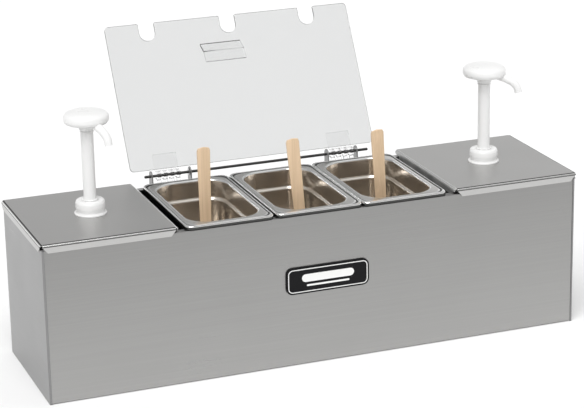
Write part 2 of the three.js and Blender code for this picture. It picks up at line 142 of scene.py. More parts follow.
def emboss(material, value, strength, depth):
    node = material.node_tree.nodes.new("ShaderNodeBump")
    node.inputs["Strength"].default_value = strength
    node.inputs["Distance"].default_value = depth
    material.node_tree.links.new(value, node.inputs["Height"])
    feed(material, "Normal", node.outputs["Normal"])


def painted_reflection_ramp(material, colour, foot, top):
    """Multiplies a colour by a painted reflection ramp that changes evenly from the counter to the
    top edge.
    """
    nodes, links = material.node_tree.nodes, material.node_tree.links
    place = nodes.new("ShaderNodeTexCoord")
    split = nodes.new("ShaderNodeSeparateXYZ")
    links.new(place.outputs["Object"], split.inputs["Vector"])
    shade = remap(material, split.outputs["Z"], foot, top, 0.0, WALL_HEIGHT)
    node = nodes.new("ShaderNodeMix")
    node.data_type = "RGBA"
    node.blend_type = "MULTIPLY"
    node.inputs["Factor"].default_value = 1.0
    links.new(colour, node.inputs["A"])
    links.new(shade, node.inputs["B"])
    return node.outputs["Result"]


def brushed_steel(name, colour, rough, grain, painted_ramp=None, bump=0.06):
    """Stainless sheet: fine grain lines one way, and broad faint handling marks."""
    material = new_material(name, Metallic=1.0)
    links = material.node_tree.links
    lines = noise(material, grain, detail=4)
    marks = noise(material, (9, 9, 9), detail=2)
    tint = remap(material, lines, 0, 1, 0.25, 0.75)
    mixed = colour_between(material, tint, darker(colour, 0.93), colour)
    # With a pair of shades, the colour gets a painted reflection ramp from the counter to the top
    # edge.
    feed(material, "Base Color", painted_reflection_ramp(material, mixed, *painted_ramp) if painted_ramp else mixed)
    spread = (rough[1] - rough[0]) / 2
    total = material.node_tree.nodes.new("ShaderNodeMath")
    links.new(remap(material, lines, rough[0], rough[0] + spread), total.inputs[0])
    links.new(remap(material, marks, 0, spread), total.inputs[1])
    feed(material, "Roughness", total.outputs[0])
    emboss(material, lines, bump, GRAIN_DEPTH)
    return material


def plain_metal(name, colour, rough):
    """Small metal parts, and the painted dark lines, highlights and light on bends: no grain,
    slightly uneven in tone and gloss.
    """
    material = new_material(name, Metallic=1.0)
    marks = noise(material, (60, 60, 60))
    feed(material, "Base Color", colour_between(material, marks, darker(colour, 0.9), colour))
    feed(material, "Roughness", remap(material, marks, rough * 0.85, rough * 1.2))
    return material


def clear_plastic(name, colour, rough=0.03, ior=1.49):
    """Polished acrylic with faint wiping marks."""
    material = new_material(name, Base_Color=(*colour, 1), IOR=ior, Transmission_Weight=1.0)
    wipes = noise(material, (25, 40, 12), detail=5)
    feed(material, "Roughness", remap(material, wipes, 0.0, rough))
    return material


def moulded_plastic(name, colour, rough=0.32):
    """Opaque plastic or enamel with soft flow marks and a fine skin."""
    material = new_material(name, Subsurface_Weight=0.08, Subsurface_Radius=(0.004, 0.004, 0.004))
    flow = noise(material, (45, 45, 45), detail=4)
    fine = noise(material, (1500, 1500, 1500), detail=2)
    feed(material, "Base Color", colour_between(material, flow, darker(colour, 0.97), colour))
    feed(material, "Roughness", remap(material, flow, rough * 0.85, rough * 1.15))
    emboss(material, fine, 0.08, PORE_DEPTH)
    return material


def pale_wood(name):
    """Long fibres and soft darker streaks along the stick, with small pores."""
    material = new_material(name)
    links = material.node_tree.links
    fibres = noise(material, (900, 900, 14), detail=5)
    streaks = noise(material, (160, 160, 5), detail=3)
    shade = material.node_tree.nodes.new("ShaderNodeMath")
    shade.operation = "MULTIPLY"
    links.new(remap(material, fibres, 0.25, 1.0), shade.inputs[0])
    links.new(remap(material, streaks, 0.4, 1.0), shade.inputs[1])
    tint = colour_between(material, shade.outputs[0], (0.60, 0.435, 0.275), (0.80, 0.60, 0.41))
    feed(material, "Base Color", tint)
    feed(material, "Roughness", remap(material, fibres, 0.55, 0.75))
    emboss(material, fibres, 0.25, FIBRE_DEPTH)
    return material


ALONG_X, ALONG_Y, UPRIGHT = (4, 900, 900), (900, 4, 900), (500, 500, 30)  # ways of the grain
PAN_GRAIN = (30, 30, 700)

# The wrap's colour carries a painted reflection: 1.14 times as bright at the counter, 0.88 times at
# its top edge.
wall_steel = brushed_steel("wall_steel", (0.37, 0.368, 0.362), (0.26, 0.38), ALONG_X, (1.14, 0.88))
end_steel = brushed_steel("end_steel", (0.29, 0.29, 0.29), (0.26, 0.38), ALONG_Y)
cover_steel = brushed_steel("cover_steel", (0.59, 0.586, 0.578), (0.34, 0.46), ALONG_X)
# Painted dark lines (shade and dark reflection) and painted highlights for the covers' bends and
# the pans' rims.
painted_dark_line = plain_metal("painted_dark_line", (0.09, 0.09, 0.088), 0.4)
painted_highlight = plain_metal("painted_highlight", (0.95, 0.95, 0.94), 0.2)
# Painted light: a pale matte grey on the covers' inner flanges, which lie in shade beside the pans.
painted_flange_light = plain_metal("painted_flange_light", (0.7, 0.7, 0.69), 0.6)
rim_steel = brushed_steel("rim_steel", (0.66, 0.65, 0.635), (0.25, 0.36), (400, 400, 400))
white_enamel = moulded_plastic("white_enamel", (0.85, 0.85, 0.84), 0.3)
pan_steel = brushed_steel("pan_steel", (0.84, 0.79, 0.725), (0.19, 0.27), PAN_GRAIN, bump=0.012)
pan_outside = brushed_steel("pan_outside", (0.42, 0.415, 0.405), (0.2, 0.3), PAN_GRAIN, bump=0.012)
strip_steel = brushed_steel("strip_steel", (0.3, 0.3, 0.3), (0.3, 0.42), UPRIGHT)
rod_steel = plain_metal("rod_steel", (0.09, 0.088, 0.088), 0.35)
bright_steel = plain_metal("bright_steel", (0.62, 0.62, 0.62), 0.16)
acrylic = clear_plastic("acrylic", (0.78, 0.785, 0.785))
hinge_clear = clear_plastic("hinge_clear", (0.97, 0.972, 0.972), 0.18, 1.3)
white_plastic = moulded_plastic("white_plastic", (0.81, 0.81, 0.805))
natural_plastic = moulded_plastic("natural_plastic", (0.74, 0.74, 0.72), 0.4)
seal_rubber = moulded_plastic("seal_rubber", (0.2, 0.2, 0.2), 0.6)
enamel = moulded_plastic("enamel", (0.006, 0.006, 0.007), 0.35)
shader_of(enamel).inputs["Specular IOR Level"].default_value = 0.15
wood = pale_wood("wood")


# ------------------------------ making pieces
SHARP_ANGLE = math.radians(42)
BEVEL_ANGLE = math.radians(35)
SHEET_EDGE_ANGLE = math.radians(60)
STRAIGHT, FOLDED = math.radians(87), math.radians(4)  # half angles that eased leaves alone
EASED_SHARE = 0.48  # most of a side that one rounding takes
MITRE_LIMIT = 0.2


def add_piece(name, bm, material, body, *, replaces=(), slot=None, turn=None, bevel=0.0, flat=True):
    """Turns a bmesh in millimetres into a piece that rides on a body.

    A piece with a bevel (its width, in mm) shades smoothly round its edges. Without one, its
    sharp edges are marked. flat keeps its flat faces evenly shaded."""
    if turn is not None:
        bm.transform(turn)
    bm.transform(Matrix.Scale(MM, 4))
    bmesh.ops.recalc_face_normals(bm, faces=bm.faces)
    mesh = bpy.data.meshes.new(name)
    bm.to_mesh(mesh)
    bm.free()
    for one in material if isinstance(material, tuple) else (material,):
        mesh.materials.append(one)
    mesh.shade_smooth()
    if not bevel:
        mesh.set_sharp_from_angle(angle=SHARP_ANGLE)
    piece = bpy.data.objects.new(name, mesh)
    bpy.context.scene.collection.objects.link(piece)
    if bevel:
        edge = piece.modifiers.new("edges", "BEVEL")
        edge.width = bevel * MM
        edge.segments = 2
        edge.limit_method = "ANGLE"
        edge.angle_limit = BEVEL_ANGLE
    if flat:
        piece.modifiers.new("flats", "WEIGHTED_NORMAL").keep_sharp = True
    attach(piece, body)
    if replaces:
        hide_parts(*replaces)
    return piece


def add_fixed(name, bm, material, node, slot, **rest):
    """A piece that stands for one of the housing's CAD parts."""
    add_piece(name, bm, material, "housing", replaces=[node], slot=slot, **rest)


def arc(centre, radius, start, end, steps):
    """Points along a circle's arc; angles in degrees."""
    points = []
    for i in range(steps + 1):
        a = math.radians(start + (end - start) * i / steps)
        points.append(Vector((centre[0] + radius * math.cos(a), centre[1] + radius * math.sin(a))))
    return points


def eased(points, radius, closed=False, steps=4):
    """A 2-D path with its corners rounded."""
    points = [Vector(p) for p in points]
    count = len(points)
    rounded = []
    for i, corner in enumerate(points):
        if not closed and i in (0, count - 1):
            rounded.append(corner)
            continue
        before = points[i - 1] - corner
        after = points[(i + 1) % count] - corner
        half = before.angle(after) / 2
        if half > STRAIGHT or half < FOLDED:
            rounded.append(corner)
            continue
        longest = min(before.length * EASED_SHARE, after.length * EASED_SHARE)
        reach = min(radius / math.tan(half), longest)
        size = reach * math.tan(half)
        inward = (before.normalized() + after.normalized()).normalized()
        hub = corner + inward * (size / math.sin(half))
        first = corner + before.normalized() * reach - hub
        last = corner + after.normalized() * reach - hub
        for k in range(steps + 1):
            rounded.append(hub + first.slerp(last, k / steps))
    return rounded


def smooth_line(points, samples):
    """A Catmull-Rom line through points of any dimension."""
    points = [Vector(p) for p in points]
    points = [points[0] * 2 - points[1], *points, points[-1] * 2 - points[-2]]
    line = []
    for a, b, c, d in zip(points, points[1:], points[2:], points[3:]):
        for k in range(samples):
            t = k / samples
            bend = (2 * a - 5 * b + 4 * c - d) * t * t + (3 * b - a - 3 * c + d) * t * t * t
            line.append(0.5 * (2 * b + (c - a) * t + bend))
    line.append(points[-2])
    return line


def join_rings(bm, rings, closed):
    """Faces between neighbouring rings of vertices; a ring of one vertex is a pole."""
    pairs = list(zip(rings, rings[1:]))
    if closed:
        pairs.append((rings[-1], rings[0]))
    for a, b in pairs:
        count = max(len(a), len(b))
        if count == 1:
            continue
        for i in range(count):
            j = (i + 1) % count
            corners = [a[i % len(a)], a[j % len(a)], b[j % len(b)], b[i % len(b)]]
            face = list(dict.fromkeys(corners))
            if len(face) > 2:
                bm.faces.new(face)


def turned(profile, sides=64):
    """A shape turned about z from (radius, height) points, closed on itself or on the axis."""
    bm = bmesh.new()
    rings = []
    for radius, height in profile:
        if radius < TINY:
            rings.append([bm.verts.new((0, 0, height))])
            continue
        ring = []
        for i in range(sides):
            a = 2 * math.pi * i / sides
            ring.append(bm.verts.new((radius * math.cos(a), radius * math.sin(a), height)))
        rings.append(ring)
    join_rings(bm, rings, closed=profile[0][0] > TINY)
    return bm


def tube(line, radii, sides=20, hollow=0.0):
    """A round tube along a 3-D line; hollow is the bore's radius, open at the far end."""
    bm = bmesh.new()
    up = Z
    rings, bores = [], []
    for i, point in enumerate(line):
        ahead = (line[min(i + 1, len(line) - 1)] - line[max(i - 1, 0)]).normalized()
        across = up.cross(ahead)
        across = (across if across.length > 100 * TINY else X.cross(ahead)).normalized()
        up = ahead.cross(across).normalized()
        radius = radii[i] if hasattr(radii, "__len__") else radii
        for size, target in ((radius, rings), (hollow, bores)):
            if size <= 0:
                continue
            ring = []
            for k in range(sides):
                a = 2 * math.pi * k / sides
                ring.append(bm.verts.new(point + (across * math.cos(a) + up * math.sin(a)) * size))
            target.append(ring)
    join_rings(bm, rings, closed=False)
    bm.faces.new(rings[0])
    if bores:
        join_rings(bm, bores, closed=False)
        join_rings(bm, [rings[-1], bores[-1]], closed=False)
        bm.faces.new(bores[0])
    else:
        bm.faces.new(rings[-1])
    return bm


def offset_path(path, distance):
    """The same 2-D path moved sideways, to the left of its direction."""
    shifted = []
    for i, point in enumerate(path):
        before = (point - path[i - 1]).normalized() if i else None
        after = (path[i + 1] - point).normalized() if i < len(path) - 1 else None
        one = before or after
        two = after or before
        normal = (Vector((-one.y, one.x)) + Vector((-two.y, two.x))).normalized()
        spread = max(normal.dot(Vector((-one.y, one.x))), MITRE_LIMIT)
        shifted.append(point + normal * (distance / spread))
    return shifted


def bent_sheet(path, thickness, low, high, axes):
    """A folded sheet: a 2-D path given thickness, run from low to high along the third axis.

    axes are the path's two axes and the run's axis."""
    bm = bmesh.new()
    inner = offset_path(path, thickness)

    def end(side, run):
        return [bm.verts.new(axes[0] * p.x + axes[1] * p.y + axes[2] * run) for p in side]

    outer_a, inner_a = end(path, low), end(inner, low)
    outer_b, inner_b = end(path, high), end(inner, high)
    for i in range(len(path) - 1):
        bm.faces.new((outer_a[i], outer_a[i + 1], outer_b[i + 1], outer_b[i]))
        bm.faces.new((inner_a[i], inner_b[i], inner_b[i + 1], inner_a[i + 1]))
        bm.faces.new((outer_a[i], inner_a[i], inner_a[i + 1], outer_a[i + 1]))
        bm.faces.new((outer_b[i], outer_b[i + 1], inner_b[i + 1], inner_b[i]))
    for i in (0, -1):
        bm.faces.new((outer_a[i], outer_b[i], inner_b[i], inner_a[i]))
    return bm


def plate(outline, low, high, axes):
    """A flat outline given thickness from low to high along the third axis."""
    bm = bmesh.new()
    loops = []
    for run in (low, high):
        loop = [bm.verts.new(axes[0] * p[0] + axes[1] * p[1] + axes[2] * run) for p in outline]
        loops.append(loop)
        bm.faces.new(loop)
    join_rings(bm, loops, closed=False)
    return bm


def merge(*parts):
    """Several bmeshes in one."""
    whole = bmesh.new()
    for part in parts:
        mesh = bpy.data.meshes.new("part")
        part.to_mesh(mesh)
        part.free()
        whole.from_mesh(mesh)
        bpy.data.meshes.remove(mesh)
    return whole


def moved(bm, x, y, z):
    """The same bmesh after a shift."""
    bm.transform(Matrix.Translation((x, y, z)))
    return bm


def rounded_rectangle(half_x, half_y, radius, steps=6):
    """Points round a rectangle with round corners, starting at the front right corner."""
    points = []
    for sx, sy, start in ((1, -1, -90), (1, 1, 0), (-1, 1, 90), (-1, -1, 180)):
        hub = (sx * (half_x - radius), sy * (half_y - radius))
        points += arc(hub, radius, start, start + 90, steps)
    return points


# ------------------------------ housing
SHEET = 1.0
BEND = 1.7
SEAM = 2.9  # width of the end panels' returns round the corners
SEAM_GAP = 0.3
FRONT_LEDGE, BACK_LEDGE, END_LEDGE = 7, 12, 7
END_RIM = {"drop": 1.7, "bend": 1.2, "inset": 0.1}  # an end panel's ledge and how far it folds down
END_WALL_DROP = 1.6  # the end wall stops this far below the ledge's top
DIVIDER_ENDS = (-82.9, 77.9)
BADGE_CORNER = 8
BADGE_FIELD, BADGE_TRIM = 0.35, 0.05  # how far the black field and the trim lie behind the front
BADGE_BORDER = ((2.2, 5.8), (3.2, 4.9))  # inset and corner radius of the border's two edges
BADGE_BARS = ((33, 4.8, 2.6), (27, 1.1, -6.6))  # half length, half height, height off the middle


def build_housing():
    _, high = span("housing_wrap")
    end_low, _ = span("left_end_panel")
    half = -end_low.x
    top, back = high.z, high.y
    path = [(-back + FRONT_LEDGE, top), (-back, top), (-back, 0)]
    path += [(back, 0), (back, top), (back - BACK_LEDGE, top)]
    run = half - SEAM - SEAM_GAP
    wrap = bent_sheet(eased(path, BEND), SHEET, -run, run, (Y, Z, X))
    add_fixed("wrap_sheet", wrap, wall_steel, "housing_wrap", "housing_steel")
    for side, sign in zip(SIDES, (-1, 1)):
        build_end(side, sign, half, back, top)
        build_divider(side, sign)


def build_end(side, sign, half, back, top):
    """An end wall with returns round its two corners, and the ledge along its top."""
    seam, outside = sign * (half - SEAM), sign * half
    plan = [(seam, sign * back), (outside, sign * back)]
    plan += [(outside, -sign * back), (seam, -sign * back)]
    wall = bent_sheet(eased(plan, BEND), -SHEET, 0, top - END_WALL_DROP, (X, Y, Z))
    ledge = [(sign * (half - END_LEDGE), top), (outside, top), (outside, top - END_RIM["drop"])]
    run = back - END_RIM["inset"]
    rim = bent_sheet(eased(ledge, END_RIM["bend"]), -sign * SHEET, -run, run, (X, Z, Y))
    whole = merge(wall, rim)
    add_fixed(f"{side}_end_sheet", whole, end_steel, f"{side}_end_panel", "housing_steel")


def build_divider(side, sign):
    """The wall between an end well and the small pans, folded over at its top."""
    node = f"{side}_divider"
    low, high = span(node)
    face, ledge = (low.x, high.x) if sign > 0 else (high.x, low.x)
    path = [(ledge, high.z), (face, high.z), (face, low.z)]
    sheet = bent_sheet(eased(path, BEND), sign * SHEET, *DIVIDER_ENDS, (X, Z, Y))
    add_fixed(f"{node}_sheet", sheet, end_steel, node, "housing_steel")


def build_badge():
    """A black enamelled plate with a thin raised border and two plain bars."""
    low, high = span("badge_plate")
    mid = (low + high) / 2
    half_x, half_z = (high.x - low.x) / 2, (high.z - low.z) / 2
    field, trim = low.y + BADGE_FIELD, low.y + BADGE_TRIM
    axes = (X, Z, Y)
    base = plate(rounded_rectangle(half_x, half_z, BADGE_CORNER), high.y, field, axes)
    moved(base, mid.x, 0, mid.z)
    add_fixed("badge_base", base, enamel, "badge_plate", "badge_enamel", bevel=0.35)
    outer, inner = (rounded_rectangle(half_x - i, half_z - i, r) for i, r in BADGE_BORDER)
    border = bmesh.new()
    loops = [
        [border.verts.new((mid.x + p.x, y, mid.z + p.y)) for p in loop]
        for loop, y in ((outer, field), (outer, trim), (inner, trim), (inner, field))
    ]
    join_rings(border, loops, closed=True)
    bars = []
    for length, height, rise in BADGE_BARS:
        bar = plate(rounded_rectangle(length, height, height - 0.05), field, trim, axes)
        bars.append(moved(bar, mid.x, 0, mid.z + rise))
    add_piece("badge_trim", merge(border, *bars), white_enamel, "housing", slot="badge_enamel")


# ------------------------------ hinge hardware
CLIP = {"sides": 36, "sheet": 0.45, "flat": 1.1, "dish": 0.35}
TOOTH = {"count": 6, "play": 0.05, "root": 0.9, "half_tip": 0.7, "half_root": 1.0, "back": 0.7}
BRACKET = {"thickness": 1.5, "foot_top": 181, "foot_corner": 2.5, "toe": 5, "toe_corner": 3}
EAR_FRONT_FOOT = 14  # the ear's outer edge starts this far above its foot
EAR_NECK = (5, 13)  # its inner edge runs in to the wall between these depths below the rod
RIVET = [(2.6, 0.2), (2.8, 1.2), (2.8, 1.5), (1.6, 1.5)]  # its blind end; the head comes next
RIVET_HEAD = [(1.6, 0), (3.2, 0), (3.1, 0.5), (2.4, 1.9), (1.1, 2.6), (0, 2.75)]
RIVET_HEAD_HEIGHT = 2.8


def build_rod():
    low, high = span("hinge_rod")
    mid = (low + high) / 2
    radius = (high.z - low.z) / 2
    length = high.x - low.x
    profile = eased([(0, 0), (radius, 0), (radius, length), (0, length)], 0.5)
    turn = Matrix.Translation((low.x, mid.y, mid.z)) @ Matrix.Rotation(math.pi / 2, 4, "Y")
    rod = turned([tuple(p) for p in profile], 32)
    add_fixed("rod", rod, rod_steel, "hinge_rod", "rod_steel", turn=turn)
    for side in SIDES:
        build_clip(f"rod_clip_{side}", mid, radius)


def build_clip(node, rod, bore):
    """A push-on washer: a dished disc with teeth pressed against the rod."""
    low, high = span(node)
    bm = bmesh.new()
    outer = (high.z - low.z) / 2
    flat, sheet, dish = outer - CLIP["flat"], CLIP["sheet"], CLIP["dish"]
    rings = []
    for radius, depth in ((outer, 0), (outer, sheet), (flat, sheet + dish), (flat, dish)):
        ring = []
        for i in range(CLIP["sides"]):
            a = 2 * math.pi * i / CLIP["sides"]
            ring.append(bm.verts.new((depth, radius * math.cos(a), radius * math.sin(a))))
        rings.append(ring)
    join_rings(bm, rings, closed=True)
    tip, root = bore + TOOTH["play"], outer - TOOTH["root"]
    a, b = TOOTH["half_tip"], TOOTH["half_root"]
    for i in range(TOOTH["count"]):
        blade = plate([(tip, -a), (root, -b), (root, b), (tip, a)], dish, TOOTH["back"], (Y, Z, X))
        blade.transform(Matrix.Rotation(2 * math.pi * i / TOOTH["count"], 4, "X"))
        bm = merge(bm, blade)
    moved(bm, low.x, rod.y, rod.z)
    add_fixed(f"{node}_washer", bm, bright_steel, node, "rod_steel")


def build_bracket(index, rod):
    """An upright ear with a round top, turned off a foot that is riveted to the back wall."""
    node = f"hinge_bracket_{index}"
    low, high = span(node)
    foot_right = index % 2 == 0
    thickness, foot_top = BRACKET["thickness"], BRACKET["foot_top"]
    ear_x = low.x if foot_right else high.x - thickness
    wall = low.y
    reach = high.y - rod.y
    toe = [(wall, low.z), (wall + BRACKET["toe"], low.z), (high.y, low.z + EAR_FRONT_FOOT)]
    outline = eased(toe, BRACKET["toe_corner"]) + arc((rod.y, rod.z), reach, 0, 180, 12)
    outline += [(rod.y - reach, rod.z - EAR_NECK[0]), (wall, rod.z - EAR_NECK[1])]
    ear = plate(outline, ear_x, ear_x + thickness, (Y, Z, X))
    half_x, half_z = (high.x - low.x) / 2, (foot_top - low.z) / 2
    foot = rounded_rectangle(half_x, half_z, BRACKET["foot_corner"], 4)
    pad = plate(foot, wall, wall + thickness, (X, Z, Y))
    moved(pad, (low.x + high.x) / 2, 0, (low.z + foot_top) / 2)
    whole = merge(ear, pad)
    add_fixed(f"{node}_strip", whole, strip_steel, node, "hardware_steel", bevel=0.25)


def build_rivet(index):
    """A blind rivet through a bracket's foot and the back wall, its head outside."""
    node = f"bracket_rivet_{index}"
    low, high = span(node)
    mid = (low + high) / 2
    grip = high.y - low.y - RIVET_HEAD_HEIGHT
    profile = [(0, 0), *RIVET, *((radius, grip + rise) for radius, rise in RIVET_HEAD)]
    turn = Matrix.Translation((mid.x, low.y, mid.z)) @ Matrix.Rotation(-math.pi / 2, 4, "X")
    rivet = turned(profile, 28)
    add_fixed(f"{node}_body", rivet, bright_steel, node, "hardware_steel", turn=turn)


# ------------------------------ lid
LEAN = math.radians(29.5)
LID = {"sides": (-171.3, 149.6), "bottom": 8, "height": 193.2, "thickness": 3.0, "corner": 5}
NOTCHES = {"centres": (-118, -12, 93.7), "radius": 10.35, "depth": 22.8, "lip": 1.2}
HANDLE = {"centre": -21.7, "width": 53, "low": 136.6, "high": 152.5}
HANDLE_BEND = math.radians(50)
HANDLE_BEND_RADIUS = 4
HANDLE_LIP = 17
HANDLE_SHEET = 2.5
LEAVES = {"left_hinge_leaf": (-125, 4), "right_hinge_leaf": (104, 4)}  # centre, number of rings
LEAF = {"sheet": 2.5, "foot": 6.5, "top": 27, "web": 7.5, "heel": 15.6}
LEAF_RING = {"radius": 5.7, "bore": 1.5, "width": 5.0, "pitch": 8.3}
GLUE = 0.3  # between the lid and what is fixed to it


def add_to_lid(name, bm, material, node, turn, bevel):
    """A piece that stands for one of the lid's CAD parts."""
    add_piece(
        name, bm, material, "lid", replaces=[node], slot="clear_acrylic", turn=turn, bevel=bevel
    )


def lid_place():
    """From the lid's own frame, upright with the rod's axis at zero, to where it leans open."""
    rod = middle("hinge_rod")
    return Matrix.Translation((0, rod.y, rod.z)) @ Matrix.Rotation(-LEAN, 4, "X")


def lid_outline():
    left, right = LID["sides"]
    low, high, c = LID["bottom"], LID["height"], LID["corner"]
    radius, lip = NOTCHES["radius"], NOTCHES["lip"]
    floor = high - NOTCHES["depth"] + radius
    points = arc((right - c, low + c), c, -90, 0, 6) + arc((right - c, high - c), c, 0, 90, 6)
    for x in reversed(NOTCHES["centres"]):
        points += arc((x + radius + lip, high - lip), lip, 90, 180, 3)
        points += arc((x, floor), radius, 0, -180, 16)
        points += arc((x - radius - lip, high - lip), lip, 0, 90, 3)
    points += arc((left + c, high - c), c, 90, 180, 6) + arc((left + c, low + c), c, 180, 270, 6)
    return points


def build_lid():
    place = lid_place()
    half = LID["thickness"] / 2
    panel = plate(lid_outline(), -half, half, (X, Z, Y))
    add_to_lid("lid_sheet", panel, acrylic, "lid_panel", place, 0.35)
    build_handle(place, half + GLUE)
    for node, (centre, rings) in LEAVES.items():
        build_leaf(node, centre, rings, place, half + GLUE)


def build_handle(place, face):
    """A strip on the lid's outer face whose free edge bends outward."""
    low, high = HANDLE["low"], HANDLE["high"]
    centre, half = HANDLE["centre"], HANDLE["width"] / 2
    tip = (face + HANDLE_LIP * math.sin(HANDLE_BEND), high + HANDLE_LIP * math.cos(HANDLE_BEND))
    path = eased([(face, low), (face, high), tip], HANDLE_BEND_RADIUS, steps=6)
    strip = bent_sheet(path, -HANDLE_SHEET, centre - half, centre + half, (Y, Z, X))
    add_to_lid("lid_handle_strip", strip, hinge_clear, "lid_handle", place, 0.3)


def leaf_ring_outline(face):
    """The side view of one ring with its web to the leaf and its heel."""
    radius, heel, outside = LEAF_RING["radius"], LEAF["heel"], face + LEAF["sheet"]
    half = LEAF["sheet"] / 2
    start = math.degrees(math.asin(-math.sqrt(1 - (half / radius) ** 2)))
    to_web, from_web = (math.degrees(math.acos(y / radius)) for y in (outside, face))
    outline = [Vector((-half, -heel)), Vector((half, -heel))]
    outline += arc((0, 0), radius, start, to_web, 10)
    outline += [Vector((outside, LEAF["web"])), Vector((face, LEAF["web"]))]
    outline += arc((0, 0), radius, from_web, 180 - start, 14)
    return outline


def build_leaf(node, centre, rings, place, face):
    """A clear leaf with rings round the rod and heels behind it."""
    pitch, width, bore = LEAF_RING["pitch"], LEAF_RING["width"], LEAF_RING["bore"]
    foot, top = LEAF["foot"], LEAF["top"]
    half = ((rings - 1) * pitch + width) / 2
    corners = [(-half, foot), (half, foot), (half, top), (-half, top)]
    parts = [plate(corners, face, face + LEAF["sheet"], (X, Z, Y))]
    bores = []
    for i in range(rings):
        x = -half + i * pitch
        parts.append(plate(leaf_ring_outline(face), x, x + width, (Y, Z, X)))
        drill = turned([(0, -1), (bore, -1), (bore, width + 1), (0, width + 1)], 24)
        drill.transform(Matrix.Translation((x, 0, 0)) @ Matrix.Rotation(math.pi / 2, 4, "Y"))
        bores.append(drill)
    whole = cut_solid(merge(*parts), merge(*bores))
    turn = place @ Matrix.Translation((centre, 0, 0))
    add_to_lid(f"{node}_moulding", whole, hinge_clear, node, turn, 0.2)


def cut_solid(whole, tools):
    """Unites a mesh's overlapping parts and cuts the tools out of it."""
    objects = []
    for bm in (whole, tools):
        bmesh.ops.recalc_face_normals(bm, faces=bm.faces)
        mesh = bpy.data.meshes.new("solid")
        bm.to_mesh(mesh)
        bm.free()
        thing = bpy.data.objects.new("solid", mesh)
        bpy.context.scene.collection.objects.link(thing)
        objects.append(thing)
    body, tool = objects
    cutter = body.modifiers.new("cut", "BOOLEAN")
    cutter.operation = "DIFFERENCE"
    cutter.object = tool
    cutter.solver = "EXACT"
    cutter.use_self = True
    depsgraph = bpy.context.evaluated_depsgraph_get()
    result = bmesh.new()
    result.from_object(body, depsgraph)
    for thing in objects:
        bpy.data.objects.remove(thing)
    return result


# ------------------------------ covers
COVER_BEND = 3.0
COVER_HOLE = 15
FLANGE_CUT = 9.0  # a flange stops this far from the cover's corner
INNER_FLANGE = (-82.6, 77.6)  # the flange beside the small pans, between the wrap's two ledges
INNER_STEP = (5.2, 5.7)  # it narrows to that between these depths
COVER_PLAIN, COVER_PAINTED_DARK, COVER_PAINTED_HIGHLIGHT, COVER_PAINTED_LIGHT = range(4)  # places in its list of materials: plain steel, a painted dark reflection line, a painted highlight and painted light
# Rows of a bend that get a painted dark reflection line or a painted highlight; the inner flange's
# lower rows get painted light.
OUTER_BEND_PAINTED_ROWS = {0: COVER_PAINTED_DARK, 1: COVER_PAINTED_DARK, 2: COVER_PAINTED_HIGHLIGHT, 3: COVER_PAINTED_HIGHLIGHT, 4: COVER_PAINTED_DARK}
INNER_BEND_PAINTED_ROWS = {0: COVER_PAINTED_HIGHLIGHT, 1: COVER_PAINTED_HIGHLIGHT, **dict.fromkeys(range(2, 8), COVER_PAINTED_LIGHT)}


def distance_to_edge(step, centre, half):
    """How far a ray with this step per unit runs from centre to the side at plus or minus half."""
    if abs(step) < TINY:
        return math.inf
    return (math.copysign(half, step) - centre) / step


def cover_top(bm, half_x, half_y, hole_x):
    """The flat top as faces from a round hole out to the rectangle; returns its outer ring."""
    marks = {math.atan2(sy * half_y, sx * half_x - hole_x) for sx in (-1, 1) for sy in (-1, 1)}
    marks |= {2 * math.pi * i / 64 - math.pi for i in range(64)}
    inner, outer = [], []
    for a in sorted(marks):
        dx, dy = math.cos(a), math.sin(a)
        reach = min(distance_to_edge(dx, hole_x, half_x), distance_to_edge(dy, 0, half_y))
        inner.append(bm.verts.new((hole_x + COVER_HOLE * dx, COVER_HOLE * dy, 0)))
        outer.append(bm.verts.new((hole_x + reach * dx, reach * dy, 0)))
    join_rings(bm, [inner, outer], closed=False)
    return outer


def flange_rows(bm, edge, outward, along, rows, painted_rows):
    """Carries an edge's vertices round the bend and down the flange, row by row.

    A row is its distance out and down from the edge and its lowest and highest place along;
    the last argument gives a row's faces their place in the list of materials, which paints dark
    reflection lines, highlights and light on chosen rows."""
    edge = sorted(edge, key=lambda v: v.co.dot(along))
    start = edge[0].co.dot(along)
    length = edge[-1].co.dot(along) - start
    previous = edge
    for k, (out, down, low, high) in enumerate(rows):
        ring = []
        for v in edge:
            share = (v.co.dot(along) - start) / length
            place = v.co + outward * out - Z * down
            place += along * (low + (high - low) * share - v.co.dot(along))
            ring.append(bm.verts.new(place))
        for i in range(len(edge) - 1):
            face = bm.faces.new((previous[i], previous[i + 1], ring[i + 1], ring[i]))
            face.material_index = painted_rows.get(k, COVER_PLAIN)
        previous = ring


def bend_rows(half_length, steps=5):
    """The rows of a cover's quarter-round bend."""
    rows = []
    for k in range(1, steps + 1):
        a = math.pi / 2 * k / steps
        out, down = COVER_BEND * math.sin(a), COVER_BEND * (1 - math.cos(a))
        rows.append((out, down, -half_length, half_length))
    return rows


